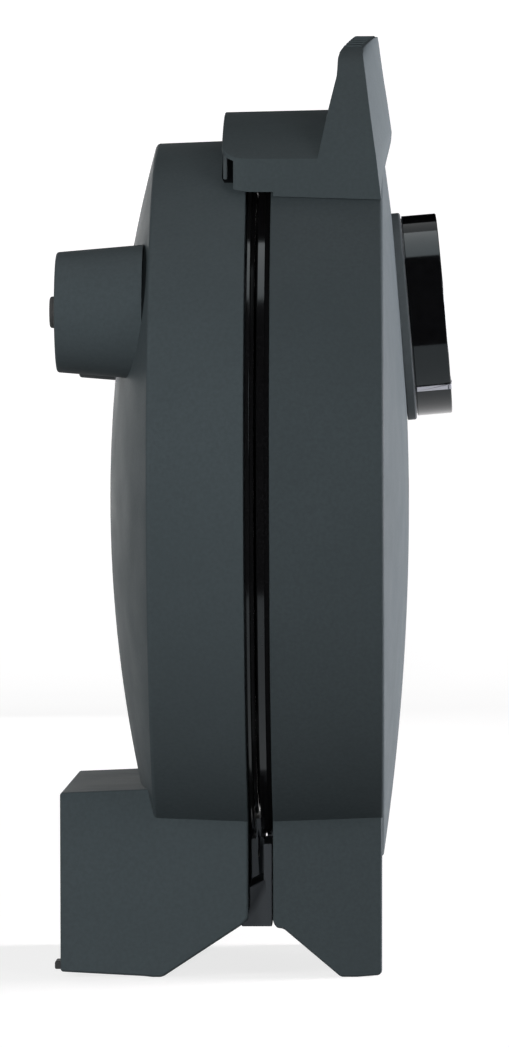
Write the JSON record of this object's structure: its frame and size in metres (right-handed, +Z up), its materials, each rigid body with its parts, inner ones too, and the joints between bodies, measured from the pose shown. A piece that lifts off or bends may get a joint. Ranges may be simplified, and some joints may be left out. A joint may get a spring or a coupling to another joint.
{
  "type": "waffle iron",
  "caption": "Round electric waffle iron stored upright on its hinge-end legs, with a domed base and lid, facing baking plates, a browning dial, and a handle with a release bar.",
  "frame": {"origin": "centre of the bounding box's bottom face, level with the feet of both legs", "axes": "+Z up along the stored height; +X through the thickness from the base to the lid; +Y across, parallel to the hinge"},
  "size_m": [0.1229, 0.2264, 0.2904],
  "materials": {
    "base_casing": "satin",
    "lid_casing": "satin",
    "handle": "satin",
    "nonstick": "semi-gloss coating",
    "plate_ring": "gloss enamel",
    "heater_sheath": "dull",
    "reflector": "mill finish",
    "steel": "plated",
    "rubber": "matte",
    "dial": "high gloss",
    "pointer": "satin chrome",
    "lamp": "clear tinted",
    "ceramic": "matte",
    "latch": "satin",
    "bezel": "satin",
    "dark_trim": "satin"
  },
  "bodies": {
    "base": {"base_leg": "base_casing", "base_shell": "base_casing", "cord_gland": "rubber", "foot_far": "base_casing", "foot_near": "base_casing", "foot_pad_far": "rubber", "foot_pad_near": "rubber", "hinge_knuckle": "dark_trim", "hinge_pin": "steel", "latch_striker": "steel", "leg_pad_far": "rubber", "leg_pad_near": "rubber", "lower_heater": "heater_sheath", "lower_plate": "nonstick", "lower_plate_ring": "plate_ring", "lower_reflector": "reflector", "lower_screw_1": "steel", "lower_screw_2": "steel", "lower_screw_3": "steel", "terminal_block": "ceramic"},
    "lid": {"dial_bezel": "bezel", "handle_cover": "handle", "handle_screw_far": "steel", "handle_screw_near": "steel", "hinge_block_far": "dark_trim", "hinge_block_near": "dark_trim", "lamp_lens_far": "lamp", "lamp_lens_near": "lamp", "lid_leg": "lid_casing", "lid_shell": "lid_casing", "thermostat": "ceramic", "upper_heater": "heater_sheath", "upper_plate": "nonstick", "upper_plate_ring": "plate_ring", "upper_reflector": "reflector", "upper_screw_1": "steel", "upper_screw_2": "steel", "upper_screw_3": "steel"},
    "latch": {"latch_bar": "latch"},
    "dial": {"dial": "dial", "dial_pointer": "pointer", "dial_shaft": "steel"}
  },
  "joints": [
    {"name": "lid_hinge", "type": "hinge", "parent": "base", "child": "lid", "pos_m": [0.0017, 0, 0.0205], "axis": [0, 1, 0], "range_deg": [0, 92]},
    {"name": "latch_press", "type": "slide", "parent": "lid", "child": "latch", "axis": [1, 0, 0], "range_m": [0, 0.0025], "stiffness_N_per_m": 300, "springref_m": -0.001},
    {"name": "dial_turn", "type": "hinge", "parent": "lid", "child": "dial", "pos_m": [0.0455, 0, 0.2027], "axis": [0.9966, 0, 0.0819], "range_deg": [0, 270]}
  ]
}
